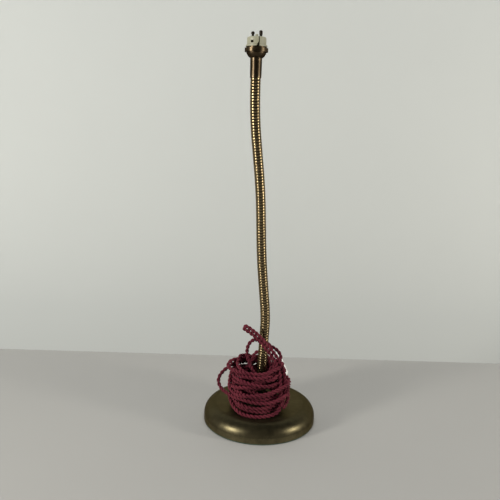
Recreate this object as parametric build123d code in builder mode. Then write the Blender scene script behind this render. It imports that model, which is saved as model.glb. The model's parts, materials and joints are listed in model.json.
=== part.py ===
from build123d import *
import os
from math import cos, radians, sin, tan

# A brass gooseneck table lamp. Its lampholder is stripped to the terminal moulding, and its mains
# flex is wound in a hank round the neck's foot, with the plug standing behind the hank.
# Millimetres. The origin is the centre of the felt's underside, +Z is up and -Y is the front.

os.makedirs("parts", exist_ok=True)

PLAY = 0.05  # radial clearance of a running fit

# Base: a spun brass cover over a cast iron weight, on felt.
BASE_R = 75.0
BASE_TOP = 25.0
BASE_ROUNDING = 16.5
SHEET = 1.2
FELT_T = 1.5
LIP_W = 5.0
WEIGHT_R = 68.0
WEIGHT_BOTTOM = 3.0
WEIGHT_TOP = 16.0
BOSS_R = 20.0
RECESS_R = 16.0
RECESS_TOP = 14.5

# Hollow threaded tube that the neck stands on, and the flex inside it.
TUBE_R = 5.0
TUBE_BORE_R = 3.6
TUBE_BOTTOM = 9.0
FLEX_R = 2.5
FLEX_ENTRY_Z = 7.5
BUSH_R = 3.6

# Neck: a ribbed coil on a gentle S, free to bend above the hank.
FOOT_FERRULE_TOP = 45.0
FOOT_SOCKET_Z = 36.0
COIL_CREST_R = 6.4
COIL_VALLEY_R = 5.4
COIL_BORE_R = 3.8
COIL_BOTTOM = 37.0
COIL_TOP = 458.0
RIB_PITCH = 3.6
HINGES = 16
FIRST_HINGE = (3.9, 132.5)
SWAY = ((2.4, 163.0), (-3.4, 224.0), (-8.5, 315.0), (-15.2, 377.0))
HEAD_X = -18.4
LAST_HINGE = (HEAD_X, 443.0)
BEND_DEG = 15.0
BEND_PLAY_DEG = 2.5

# Lampholder, on a vertical axis at HEAD_X.
FERRULE_BOTTOM = 449.4
CAP_BOTTOM = 472.5
BAND_BOTTOM = 479.65
BAND_TOP = 484.1
BAND_R = 14.25
CAP_RIM = 485.7
MOULDING_TOP = 497.0
MOULDING_R = 11.8
MOULDING_SHOULDER = 2.0  # rounding of the towers' top edges
MOULDING_FLANGE_R = 13.2
MOULDING_TURN_DEG = 15.0
PLUNGER_X = 5.0
SPRING_SEAT = 488.5
TOP_WALL = 1.5

# Hank of flex round the foot of the neck, a little to its left. It sags forward, more so towards
# its foot. Each level has a height, half its width, half its depth, and how far forward it is.
HANK_X = -4.0
HANK_LEVELS = (
    (BASE_TOP + 0.3, 31.0, 38.0, 13.0),
    (38.0, 38.0, 43.0, 11.0),
    (58.0, 38.0, 37.0, 6.0),
    (84.0, 27.0, 27.0, 3.0),
)
HANK_BORE_R = 13.5

# Three-pin plug, standing on its earth-pin end behind the hank, its pins to the back.
PLUG_AT = (14.0, 49.0, BASE_TOP)
PLUG_TURN_DEG = -8.0
PLUG_WALL = 2.2
PLUG_BASE_DEPTH = 9.0
PLUG_COVER_DEPTH = 11.0
PLUG_SHOULDER = 48.0
PLUG_FOOT_W = 42.0
PLUG_W = 52.0
PLUG_WAIST = 20.0  # height at which it is widest
PLUG_TOP_W = 26.0
PLUG_ROUNDINGS = (6.0, 14.0, 6.0)  # of the corners at foot, waist and shoulder
PLUG_TOP = 55.0
EARTH_PIN_Z = 12.0
PIN_SPACING = 22.2
PIN_LENGTH = 17.7
EARTH_PIN_LENGTH = 22.7


def save(part, name):
    part.label = name
    export_step(part, f"parts/{name}.step")


def on_axis(x, z):
    """A level plane at height z whose origin is x to the right of the base's centre."""
    return Plane(origin=(x, 0, z))


def tube(outer, bore, bottom, top, x=0.0):
    """A plain upright tube."""
    with BuildPart() as body:
        with BuildSketch(on_axis(x, bottom)):
            Circle(outer)
            Circle(bore, mode=Mode.SUBTRACT)
        extrude(amount=top - bottom)
    return body.part


def hex_nut(across_flats, bottom, top, x=0.0):
    """A nut whose thread runs on the hollow tube."""
    with BuildPart() as nut:
        with BuildSketch(on_axis(x, bottom)):
            RegularPolygon(across_flats / 2, 6, major_radius=False)
            Circle(TUBE_R + PLAY, mode=Mode.SUBTRACT)
        extrude(amount=top - bottom)
    return nut.part


def flex_along(path):
    """A run of round flex swept along a path of edges."""
    with BuildPart() as flex:
        with BuildSketch(Plane(origin=path @ 0, z_dir=path % 0)):
            Circle(FLEX_R)
        sweep(path=path)
    return flex.part


# ---------------------------------------------------------------- base


def domed_disc(radius, bottom, top, rounding):
    """A disc with a square foot and a rounded shoulder."""
    with BuildPart() as disc:
        with BuildSketch(Plane.XZ):
            with Locations((0, bottom)):
                Rectangle(radius, top - bottom, align=Align.MIN)
            shoulder = vertices().group_by(Axis.X)[-1].sort_by(Axis.Y)[-1]
            fillet(shoulder, rounding)
        revolve(axis=Axis.Z)
    return disc.part


with BuildPart() as base_cover:
    add(domed_disc(BASE_R, FELT_T, BASE_TOP, BASE_ROUNDING))
    add(
        domed_disc(BASE_R - SHEET, FELT_T + SHEET, BASE_TOP - SHEET, BASE_ROUNDING - SHEET),
        mode=Mode.SUBTRACT,
    )
    with BuildSketch(Plane.XY.offset(FELT_T)):
        Circle(BASE_R - LIP_W)
    extrude(amount=SHEET, mode=Mode.SUBTRACT)
    with BuildSketch(Plane.XY.offset(BASE_TOP - SHEET)):
        Circle(TUBE_R + PLAY)
    extrude(amount=SHEET, mode=Mode.SUBTRACT)
    with BuildSketch(Plane.XZ):
        with Locations((0, FLEX_ENTRY_Z)):
            Circle(BUSH_R + PLAY)
    extrude(amount=-BASE_R, mode=Mode.SUBTRACT)
save(base_cover.part, "base_cover")

CHANNEL_W = 7.4
CHANNEL_TOP = 10.4
CLAMP_Y = 46.0
CLAMP_POCKET = (26.0, 11.0)
CLAMP_POCKET_TOP = 5.0
CLAMP_SCREW_X = 8.5
CLAMP_SCREW_R = 1.5
CLAMP_SCREW_TOP = 12.0

with BuildPart() as base_weight:
    with BuildSketch(Plane.XY.offset(WEIGHT_BOTTOM)):
        Circle(WEIGHT_R)
    extrude(amount=WEIGHT_TOP - WEIGHT_BOTTOM)
    chamfer(edges().group_by(Axis.Z)[-1], 2)
    with BuildSketch(Plane.XY.offset(WEIGHT_TOP)):
        Circle(BOSS_R)
    extrude(amount=BASE_TOP - SHEET - WEIGHT_TOP)
    with BuildSketch(Plane.XY.offset(WEIGHT_BOTTOM)):
        Circle(RECESS_R)
    extrude(amount=RECESS_TOP - WEIGHT_BOTTOM, mode=Mode.SUBTRACT)
    with BuildSketch(Plane.XY.offset(RECESS_TOP)):
        Circle(TUBE_R + PLAY)
    extrude(amount=BASE_TOP, mode=Mode.SUBTRACT)
    with BuildSketch(Plane.XY.offset(WEIGHT_BOTTOM)):
        Rectangle(CHANNEL_W, WEIGHT_R + 1, align=(Align.CENTER, Align.MIN))
    extrude(amount=CHANNEL_TOP - WEIGHT_BOTTOM, mode=Mode.SUBTRACT)
    with BuildSketch(Plane.XY.offset(WEIGHT_BOTTOM)):
        with Locations((0, CLAMP_Y)):
            Rectangle(*CLAMP_POCKET)
    extrude(amount=CLAMP_POCKET_TOP - WEIGHT_BOTTOM, mode=Mode.SUBTRACT)
    with BuildSketch(Plane.XY.offset(WEIGHT_BOTTOM)):
        with Locations((-CLAMP_SCREW_X, CLAMP_Y), (CLAMP_SCREW_X, CLAMP_Y)):
            Circle(CLAMP_SCREW_R + PLAY)
    extrude(amount=CLAMP_SCREW_TOP - WEIGHT_BOTTOM, mode=Mode.SUBTRACT)
save(base_weight.part, "base_weight")

with BuildPart() as felt_pad:
    with BuildSketch():
        Circle(BASE_R - 0.6)
    extrude(amount=FELT_T)
save(felt_pad.part, "felt_pad")

WASHER_T = 1.5
WASHER_R = 11.0
STEM_NUT_ACROSS = 16.0
save(tube(TUBE_R, TUBE_BORE_R, TUBE_BOTTOM, FOOT_SOCKET_Z), "stem_tube")
save(tube(WASHER_R, TUBE_R + PLAY, RECESS_TOP - WASHER_T, RECESS_TOP), "stem_washer")
save(hex_nut(STEM_NUT_ACROSS, TUBE_BOTTOM + 0.5, RECESS_TOP - WASHER_T), "stem_nut")

BUSH_FLANGE_R = 5.0
BUSH_FLANGE_T = 1.6
BUSH_DEPTH = 5.0

with BuildPart() as cable_bush:
    with BuildSketch(Plane.XZ.offset(-(BASE_R - BUSH_DEPTH))):
        with Locations((0, FLEX_ENTRY_Z)):
            Circle(BUSH_R)
    extrude(amount=-BUSH_DEPTH)
    with BuildSketch(Plane.XZ.offset(-BASE_R)):
        with Locations((0, FLEX_ENTRY_Z)):
            Circle(BUSH_FLANGE_R)
    extrude(amount=-BUSH_FLANGE_T)
    fillet(edges().filter_by(GeomType.CIRCLE).sort_by(Axis.Y)[-1], 0.7)
    with BuildSketch(Plane.XZ.offset(-(BASE_R - BUSH_DEPTH))):
        with Locations((0, FLEX_ENTRY_Z)):
            Circle(FLEX_R + 0.1)
    extrude(amount=-(BUSH_DEPTH + BUSH_FLANGE_T), mode=Mode.SUBTRACT)
save(cable_bush.part, "cable_bush")

CLAMP_T = 1.2
CLAMP_SCREW_HEAD_R = 2.7
CLAMP_SCREW_HEAD_T = 1.4
CLAMP_TOP = FLEX_ENTRY_Z - FLEX_R - 0.2

with BuildPart() as cord_clamp:
    with BuildSketch(Plane.XY.offset(CLAMP_TOP - CLAMP_T)):
        with Locations((0, CLAMP_Y)):
            SlotOverall(CLAMP_POCKET[0] - 2, CLAMP_POCKET[1] - 2)
        with Locations((-CLAMP_SCREW_X, CLAMP_Y), (CLAMP_SCREW_X, CLAMP_Y)):
            Circle(CLAMP_SCREW_R + PLAY, mode=Mode.SUBTRACT)
    extrude(amount=CLAMP_T)
save(cord_clamp.part, "cord_clamp")

with BuildPart() as cord_clamp_screws:
    with BuildSketch(Plane.XY.offset(CLAMP_TOP - CLAMP_T)):
        with Locations((-CLAMP_SCREW_X, CLAMP_Y), (CLAMP_SCREW_X, CLAMP_Y)):
            Circle(CLAMP_SCREW_R)
    extrude(amount=CLAMP_SCREW_TOP - CLAMP_TOP)
    with BuildSketch(Plane.XY.offset(CLAMP_TOP - CLAMP_T)):
        with Locations((-CLAMP_SCREW_X, CLAMP_Y), (CLAMP_SCREW_X, CLAMP_Y)):
            Circle(CLAMP_SCREW_HEAD_R)
    extrude(amount=-CLAMP_SCREW_HEAD_T)
save(cord_clamp_screws.part, "cord_clamp_screws")

# ---------------------------------------------------------------- foot of the neck

FOOT_FLANGE_R = 10.5
FOOT_BODY_R = 8.6
FOOT_MOUTH_R = 6.8
GRUB_R = 1.5
GRUB_LENGTH = 2.4
FOOT_FLANGE_T = 1.5
GRUB_Z = 41.0

with BuildPart() as foot_ferrule:
    with BuildSketch(Plane.XZ):
        with BuildLine():
            Polyline(
                (TUBE_R + PLAY, BASE_TOP),
                (FOOT_FLANGE_R, BASE_TOP),
                (FOOT_FLANGE_R, BASE_TOP + FOOT_FLANGE_T),
                (FOOT_BODY_R, BASE_TOP + 2 * FOOT_FLANGE_T),
                (FOOT_BODY_R - 0.6, FOOT_FERRULE_TOP),
                (FOOT_MOUTH_R, FOOT_FERRULE_TOP),
                (FOOT_MOUTH_R, FOOT_SOCKET_Z),
                (TUBE_R + PLAY, FOOT_SOCKET_Z),
                close=True,
            )
        make_face()
    revolve(axis=Axis.Z)
    with BuildSketch(Plane.XZ):
        with Locations((0, GRUB_Z)):
            Circle(GRUB_R + PLAY)
    extrude(amount=-FOOT_FLANGE_R, mode=Mode.SUBTRACT)
save(foot_ferrule.part, "foot_ferrule")

with BuildPart() as foot_grub_screw:
    with BuildSketch(Plane.XZ.offset(-(COIL_CREST_R + 0.1))):
        with Locations((0, GRUB_Z)):
            Circle(GRUB_R)
    extrude(amount=-GRUB_LENGTH)
save(foot_grub_screw.part, "foot_grub_screw")

# ---------------------------------------------------------------- neck


def on_front(point):
    """A point of the neck's S, given as x and z, in space."""
    return Vector(point[0], 0, point[1])


neck_foot = on_front((0, COIL_BOTTOM))
first_hinge = on_front(FIRST_HINGE)
foot_direction = (first_hinge - neck_foot).normalized()

with BuildLine() as neck_line:
    Spline(
        first_hinge,
        *[on_front(point) for point in SWAY],
        on_front(LAST_HINGE),
        tangents=(foot_direction, (0, 0, 1)),
    )

neck_curve = neck_line.edge()
hinge_points = [
    neck_curve.position_at(neck_curve.length * i / (HINGES - 1), PositionMode.LENGTH)
    for i in range(HINGES)
]


def coil_stretch(start, end, coned_start=True, coned_end=True):
    """A straight stretch of ribbed tube between two points of the neck.

    A coned end slopes away from the hinge point, so that the next stretch can lean over it.
    """
    axis = end - start
    cone = tan(radians(BEND_DEG / 2 + BEND_PLAY_DEG))
    low = cone if coned_start else 0.0
    high = cone if coned_end else 0.0
    first = low * COIL_VALLEY_R
    last = axis.length - high * COIL_VALLEY_R
    ribs = round((last - first) / RIB_PITCH)
    pitch = (last - first) / ribs
    side = Plane(origin=start, x_dir=(0, 1, 0), z_dir=Vector(0, 1, 0).cross(axis))
    with BuildPart() as stretch:
        with BuildSketch(side):
            with BuildLine():
                for i in range(ribs):
                    foot = first + i * pitch
                    ThreePointArc(
                        (COIL_VALLEY_R, foot),
                        (COIL_CREST_R, foot + pitch / 2),
                        (COIL_VALLEY_R, foot + pitch),
                    )
                Polyline(
                    (COIL_VALLEY_R, last),
                    (COIL_BORE_R, axis.length - high * COIL_BORE_R),
                    (COIL_BORE_R, low * COIL_BORE_R),
                    (COIL_VALLEY_R, first),
                )
            make_face()
        revolve(axis=Axis(start, axis))
    return stretch.part


coil_top = Vector(HEAD_X, 0, COIL_TOP)
coil_ends = [neck_foot, *hinge_points, coil_top]
for number in range(HINGES + 1):
    stretch = coil_stretch(
        coil_ends[number],
        coil_ends[number + 1],
        coned_start=number > 0,
        coned_end=number < HINGES,
    )
    save(stretch, f"neck_coil_{number:02d}")

FLEX_END_Z = 481.0

with BuildLine() as neck_flex_line:
    Spline(
        (0, 0, TUBE_BOTTOM),
        (0, 0, FOOT_SOCKET_Z),
        first_hinge,
        *[on_front(point) for point in SWAY],
        on_front(LAST_HINGE),
        (HEAD_X, 0, FLEX_END_Z),
        tangents=((0, 0, 1), (0, 0, 1)),
    )
save(flex_along(neck_flex_line.edge()), "neck_flex")

# ---------------------------------------------------------------- lampholder

head_axis = Axis((HEAD_X, 0, 0), (0, 0, 1))
head_side = Plane(origin=(HEAD_X, 0, 0), x_dir=(1, 0, 0), z_dir=(0, -1, 0))

FERRULE_FOOT_R = 7.0
FERRULE_TOP_R = 7.3
COIL_SOCKET_TOP = COIL_TOP + 0.2

with BuildPart() as top_ferrule:
    with BuildSketch(head_side):
        with BuildLine():
            Polyline(
                (COIL_CREST_R + PLAY, FERRULE_BOTTOM),
                (FERRULE_FOOT_R, FERRULE_BOTTOM),
                (FERRULE_TOP_R, CAP_BOTTOM),
                (TUBE_R + PLAY, CAP_BOTTOM),
                (TUBE_R + PLAY, COIL_SOCKET_TOP),
                (COIL_CREST_R + PLAY, COIL_SOCKET_TOP),
                close=True,
            )
        make_face()
    revolve(axis=head_axis)
save(top_ferrule.part, "top_ferrule")

NIPPLE_BOTTOM = 460.0
NIPPLE_TOP = 478.5
CAP_FLOOR = CAP_BOTTOM + 2.0
CAP_NUT_TOP = CAP_FLOOR + 2.8
CAP_NUT_ACROSS = 12.5

save(tube(TUBE_R, TUBE_BORE_R, NIPPLE_BOTTOM, NIPPLE_TOP, HEAD_X), "cap_nipple")
save(hex_nut(CAP_NUT_ACROSS, CAP_FLOOR, CAP_NUT_TOP, HEAD_X), "cap_nut")

BOWL_R = 12.3
RIM_R = 12.0
RIM_BORE_R = 10.8
BOWL_FLAT = 480.5
BOWL_MIDDLE = (10.9, 475.8)
BOWL_INSIDE = (9.7, 476.6)
CAP_FLOOR_R = 7.6

with BuildPart() as lampholder_cap:
    with BuildSketch(head_side):
        with BuildLine():
            Line((TUBE_R + PLAY, CAP_BOTTOM), (FERRULE_TOP_R, CAP_BOTTOM))
            ThreePointArc((FERRULE_TOP_R, CAP_BOTTOM), BOWL_MIDDLE, (BOWL_R, BAND_BOTTOM))
            Polyline(
                (BOWL_R, BAND_BOTTOM),
                (BAND_R, BAND_BOTTOM),
                (BAND_R, BAND_TOP),
                (RIM_R, BAND_TOP),
                (RIM_R, CAP_RIM),
                (RIM_BORE_R, CAP_RIM),
                (RIM_BORE_R, BOWL_FLAT),
            )
            ThreePointArc((RIM_BORE_R, BOWL_FLAT), BOWL_INSIDE, (CAP_FLOOR_R, CAP_FLOOR))
            Polyline(
                (CAP_FLOOR_R, CAP_FLOOR),
                (TUBE_R + PLAY, CAP_FLOOR),
                (TUBE_R + PLAY, CAP_BOTTOM),
            )
        make_face()
    revolve(axis=head_axis)
save(lampholder_cap.part, "lampholder_cap")

# The moulding's own frame is turned about the lampholder's axis. Its two towers stand to the
# left and right, and everything in one tower is repeated in the other by half a turn.
TURN = Location((HEAD_X, 0, 0), (0, 0, MOULDING_TURN_DEG))
TOWERS = (TURN, TURN * Location((0, 0, 0), (0, 0, 180)))


def tower_plane(tower, height):
    """A level plane at a height, in the frame of one tower, which stands at -x."""
    return Plane(tower * Location((0, 0, height)))


PLUNGER_BORE_R = 1.75
COLLAR_R = 2.4
CHAMBER_R = 2.6
COLLAR_T = 1.0
COLLAR_TOP = MOULDING_TOP - TOP_WALL
TERMINAL_X = -7.7
TERMINAL_Y = -5.1
TERMINAL_SIZE = 3.0
TERMINAL_TOP = 493.2
STRIP_T = 1.0
STRIP_X = -PLUNGER_X - 0.9
STRIP_SIZE = (5.5, 5.8)
STRIP_PLAY = 0.2
WINDOW = 3.0
WINDOW_Z = 490.9
SLOT_FLOOR = 487.5
SLOT_W = 1.2
NOTCH_TOP = 492.2
NOTCH_DEPTH = 6.0
NOTCH_REACH = -3.9
POST_R = 1.7
POST_TOP = 500.3
WIRE_HOLE_R = 3.0
MOULDING_FOOT = 480.5

with BuildPart() as terminal_moulding:
    with BuildSketch(on_axis(HEAD_X, MOULDING_FOOT)):
        Circle(RIM_BORE_R - PLAY)
    extrude(amount=CAP_RIM - MOULDING_FOOT)
    with BuildSketch(on_axis(HEAD_X, CAP_RIM)):
        Circle(MOULDING_FLANGE_R)
    extrude(amount=SLOT_FLOOR - CAP_RIM)
    with BuildSketch(on_axis(HEAD_X, SLOT_FLOOR)):
        Circle(MOULDING_R)
    extrude(amount=MOULDING_TOP - SLOT_FLOOR)
    fillet(edges().group_by(Axis.Z)[-1], MOULDING_SHOULDER)
    # a slot parts the two towers
    with BuildSketch(Plane(TURN) * Plane.XZ):
        with Locations((0, SLOT_FLOOR)):
            Rectangle(SLOT_W, MOULDING_TOP, align=(Align.CENTER, Align.MIN))
    extrude(amount=MOULDING_R + 1, both=True, mode=Mode.SUBTRACT)
    with BuildSketch(on_axis(HEAD_X, SLOT_FLOOR)):
        Circle(POST_R)
    extrude(amount=POST_TOP - SLOT_FLOOR)
    for tower in TOWERS:
        # the slot's mouth widens downwards to the cap's rim
        with BuildSketch(Plane(tower) * Plane.XZ.offset(MOULDING_FLANGE_R + 1)):
            Polygon(
                (0, NOTCH_TOP),
                (SLOT_W / 2, CAP_RIM),
                (NOTCH_REACH, CAP_RIM),
                (-SLOT_W / 2, NOTCH_TOP - 1.5),
                align=None,
            )
        extrude(amount=-NOTCH_DEPTH, mode=Mode.SUBTRACT)
        with BuildSketch(tower_plane(tower, COLLAR_TOP)):
            with Locations((-PLUNGER_X, 0)):
                Circle(PLUNGER_BORE_R + PLAY)
        extrude(amount=TOP_WALL, mode=Mode.SUBTRACT)
        with BuildSketch(tower_plane(tower, SPRING_SEAT)):
            with Locations((-PLUNGER_X, 0)):
                Circle(CHAMBER_R)
        extrude(amount=COLLAR_TOP - SPRING_SEAT, mode=Mode.SUBTRACT)
        # the terminal's pocket, and the strip's slot under the spring
        with BuildSketch(tower_plane(tower, SPRING_SEAT - STRIP_T - PLAY)):
            with Locations((TERMINAL_X, TERMINAL_Y)):
                Rectangle(TERMINAL_SIZE + 2 * PLAY, TERMINAL_SIZE + 2 * PLAY)
        extrude(amount=TERMINAL_TOP + 2 * PLAY - SPRING_SEAT + STRIP_T, mode=Mode.SUBTRACT)
        with BuildSketch(tower_plane(tower, SPRING_SEAT - STRIP_T - PLAY)):
            with Locations((STRIP_X, TERMINAL_Y + TERMINAL_SIZE / 2)):
                Rectangle(
                    STRIP_SIZE[0] + 2 * STRIP_PLAY,
                    STRIP_SIZE[1] + STRIP_PLAY,
                    align=(Align.CENTER, Align.MIN),
                )
        extrude(amount=STRIP_T + PLAY, mode=Mode.SUBTRACT)
        # the window through which the terminal's screw is reached
        with BuildSketch(tower_plane(tower, WINDOW_Z - WINDOW / 2)):
            with Locations((TERMINAL_X, TERMINAL_Y - TERMINAL_SIZE / 2)):
                Rectangle(WINDOW, 8, align=(Align.CENTER, Align.MAX))
        extrude(amount=WINDOW, mode=Mode.SUBTRACT)
    with BuildSketch(on_axis(HEAD_X, MOULDING_FOOT)):
        Circle(WIRE_HOLE_R)
    extrude(amount=CAP_RIM - MOULDING_FOOT, mode=Mode.SUBTRACT)
save(terminal_moulding.part, "terminal_moulding")

SCREW_R = 0.9
SCREW_HEAD_R = 1.3
SCREW_HEAD_T = 1.1

with BuildPart() as terminal_blocks:
    for tower in TOWERS:
        with BuildSketch(tower_plane(tower, SPRING_SEAT - STRIP_T)):
            with Locations((TERMINAL_X, TERMINAL_Y)):
                Rectangle(TERMINAL_SIZE, TERMINAL_SIZE)
        extrude(amount=TERMINAL_TOP - SPRING_SEAT + STRIP_T)
        with BuildSketch(tower_plane(tower, SPRING_SEAT - STRIP_T)):
            with Locations((STRIP_X, TERMINAL_Y + TERMINAL_SIZE / 2)):
                Rectangle(*STRIP_SIZE, align=(Align.CENTER, Align.MIN))
        extrude(amount=STRIP_T)
        with BuildSketch(Plane(tower * Location((TERMINAL_X, TERMINAL_Y, WINDOW_Z))) * Plane.XZ):
            Circle(SCREW_R)
        extrude(amount=TERMINAL_SIZE, mode=Mode.SUBTRACT)
save(terminal_blocks.part, "terminal_blocks")

with BuildPart() as terminal_screws:
    for tower in TOWERS:
        at = Location((TERMINAL_X, TERMINAL_Y, WINDOW_Z))
        with BuildSketch(Plane(tower * at) * Plane.XZ):
            Circle(SCREW_R - PLAY)
        extrude(amount=TERMINAL_SIZE / 2)
        with BuildSketch(Plane(tower * at) * Plane.XZ.offset(TERMINAL_SIZE / 2)):
            Circle(SCREW_HEAD_R)
        extrude(amount=SCREW_HEAD_T)
save(terminal_screws.part, "terminal_screws")


SPRING_TURNS = 6


def plunger(tower, tip, head_length, head_r, shank_r):
    """A sprung contact: a domed head on a thinner shank, with a collar held under the top wall."""
    head_foot = tip - head_length
    with BuildPart() as contact:
        with BuildSketch(tower_plane(tower, COLLAR_TOP - COLLAR_T)):
            with Locations((-PLUNGER_X, 0)):
                Circle(COLLAR_R)
        extrude(amount=COLLAR_T)
        with BuildSketch(tower_plane(tower, COLLAR_TOP)):
            with Locations((-PLUNGER_X, 0)):
                Circle(shank_r)
        extrude(amount=head_foot - COLLAR_TOP)
        with BuildSketch(tower_plane(tower, head_foot)):
            with Locations((-PLUNGER_X, 0)):
                Circle(head_r)
        extrude(amount=head_length)
        fillet(edges().group_by(Axis.Z)[-1], head_r * 0.75)
    return contact.part


def plunger_spring(tower):
    """The coil spring between the terminal's strip and the plunger's collar."""
    wire = 0.2  # radius
    height = COLLAR_TOP - COLLAR_T - SPRING_SEAT - 2 * wire
    centre = tower_plane(tower, SPRING_SEAT + wire).from_local_coords((-PLUNGER_X, 0, 0))
    with BuildPart() as spring:
        with BuildLine() as coil:
            Helix(height / SPRING_TURNS, height, COLLAR_R - wire, center=centre)
        with BuildSketch(Plane(origin=coil.line @ 0, z_dir=coil.line % 0)):
            Circle(wire)
        sweep(is_frenet=True)
    return spring.part


save(plunger(TOWERS[0], tip=503.3, head_length=3.0, head_r=2.1, shank_r=1.5), "plunger_left")
save(plunger(TOWERS[1], tip=505.2, head_length=5.0, head_r=2.1, shank_r=1.7), "plunger_right")
save(plunger_spring(TOWERS[0]), "plunger_spring_left")
save(plunger_spring(TOWERS[1]), "plunger_spring_right")

# ---------------------------------------------------------------- hank of flex

with BuildPart() as flex_hank:
    for height, half_width, half_depth, forward in HANK_LEVELS:
        with BuildSketch(Plane(origin=(HANK_X, -forward, height))):
            Ellipse(half_width, half_depth)
    loft()
    with BuildSketch():
        Circle(HANK_BORE_R)
    extrude(amount=HANK_LEVELS[-1][0] + 1, mode=Mode.SUBTRACT)
save(flex_hank.part, "flex_hank")

# From the tube's foot through the weight's channel and the bush, then up over the base's edge.
with BuildLine() as base_run:
    bend_in = Spline(
        (0, 0, TUBE_BOTTOM),
        (0, 5, 5.0),
        (0, 20, FLEX_ENTRY_Z),
        tangents=((0, 0, -1), (0, 1, 0)),
    )
    straight = Line(bend_in @ 1, (0, BASE_R + 6, FLEX_ENTRY_Z))
    Spline(
        straight @ 1,
        (0, BASE_R + 13, 15),
        (-3, BASE_R + 4, 26.5),
        (-13, BASE_R - 16, 28),
        (-22, BASE_R - 46, 28),
        tangents=((0, 1, 0), (-0.3, -0.95, 0)),
    )
save(flex_along(base_run.wire()), "flex_to_base")

# ---------------------------------------------------------------- plug


def plug_frame(depth=0.0):
    """The plug's upright plane: x to its right, y up, and depth towards the front."""
    turn = radians(PLUG_TURN_DEG)
    right = Vector(cos(turn), sin(turn), 0)
    front = Vector(sin(turn), -cos(turn), 0)
    return Plane(origin=Vector(*PLUG_AT) + front * depth, x_dir=right, z_dir=front)


def plug_outline(inset=0.0):
    """Square-shouldered at its foot, narrowing to the flex's entry at the top."""
    with BuildSketch() as outline:
        with BuildLine():
            Polyline(
                (0, 0),
                (PLUG_FOOT_W / 2, 0),
                (PLUG_W / 2, PLUG_WAIST),
                (PLUG_TOP_W / 2, PLUG_SHOULDER),
                (0, PLUG_SHOULDER),
            )
            mirror(about=Plane.YZ)
        make_face()
        heights = outline.vertices().filter_by(lambda v: abs(v.X) > 1).group_by(Axis.Y)
        for corners, radius in zip(heights, PLUG_ROUNDINGS):
            fillet(corners, radius)
        if inset:
            offset(amount=-inset, mode=Mode.REPLACE)
    return outline.sketch


# Name, place across and up, width, height and length beyond the plug's back.
PIN_PLACES = (
    ("plug_earth_pin", 0.0, EARTH_PIN_Z, 4.0, 8.0, EARTH_PIN_LENGTH),
    ("plug_line_pin", -PIN_SPACING / 2, EARTH_PIN_Z + PIN_SPACING, 6.35, 4.0, PIN_LENGTH),
    ("plug_neutral_pin", PIN_SPACING / 2, EARTH_PIN_Z + PIN_SPACING, 6.35, 4.0, PIN_LENGTH),
)
COVER_SCREW_Z = 24.0
COVER_SCREW_R = 1.7
COVER_SCREW_HEAD_R = 2.9
COVER_BOSS_R = 4.0
GRIP_Z = 41.0
GRIP_SCREW_X = 7.5
GRIP_SCREW_R = 1.3
GRIP_SCREW_HEAD_R = 2.2
GRIP_BOSS_R = 2.8
GRIP_SCREW_DEPTH = 4.5
ENTRY_R = 2.8
NUB_R = 5.0
INNER_BACK = -(PLUG_BASE_DEPTH - PLUG_WALL)

with BuildPart() as plug_base:
    with BuildSketch(plug_frame()):
        add(plug_outline())
    extrude(amount=-PLUG_BASE_DEPTH)
    with BuildSketch(plug_frame()):
        add(plug_outline(PLUG_WALL))
    extrude(amount=INNER_BACK, mode=Mode.SUBTRACT)
    with BuildSketch(plug_frame(INNER_BACK)):
        with Locations((0, COVER_SCREW_Z)):
            Circle(COVER_BOSS_R)
        with Locations((-GRIP_SCREW_X, GRIP_Z), (GRIP_SCREW_X, GRIP_Z)):
            Circle(GRIP_BOSS_R)
    extrude(amount=-INNER_BACK)
    with BuildSketch(plug_frame()):
        with Locations((0, COVER_SCREW_Z)):
            Circle(COVER_SCREW_R)
        for _, x, z, width, height, _ in PIN_PLACES:
            with Locations((x, z)):
                Rectangle(width + 2 * PLAY, height + 2 * PLAY)
    extrude(amount=-PLUG_BASE_DEPTH, mode=Mode.SUBTRACT)
    with BuildSketch(plug_frame()):
        with Locations((-GRIP_SCREW_X, GRIP_Z), (GRIP_SCREW_X, GRIP_Z)):
            Circle(GRIP_SCREW_R)
    extrude(amount=-GRIP_SCREW_DEPTH - 0.5, mode=Mode.SUBTRACT)
    with BuildSketch(plug_frame(-PLUG_BASE_DEPTH)):
        with Locations((0, COVER_SCREW_Z)):
            Circle(COVER_SCREW_HEAD_R + 0.3)
    extrude(amount=1.6, mode=Mode.SUBTRACT)
    # half of the round nub round the flex's entry
    with BuildSketch(plug_frame() * Plane.XZ.offset(-PLUG_TOP)):
        Circle(NUB_R)
        Rectangle(4 * NUB_R, 2 * NUB_R, align=(Align.CENTER, Align.MIN), mode=Mode.SUBTRACT)
    extrude(amount=PLUG_TOP - PLUG_SHOULDER)
    with BuildSketch(plug_frame() * Plane.XZ.offset(-PLUG_TOP)):
        Circle(ENTRY_R)
    extrude(amount=PLUG_TOP - PLUG_SHOULDER + PLUG_WALL, mode=Mode.SUBTRACT)
save(plug_base.part, "plug_base")

INNER_FRONT = PLUG_COVER_DEPTH - PLUG_WALL

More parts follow.
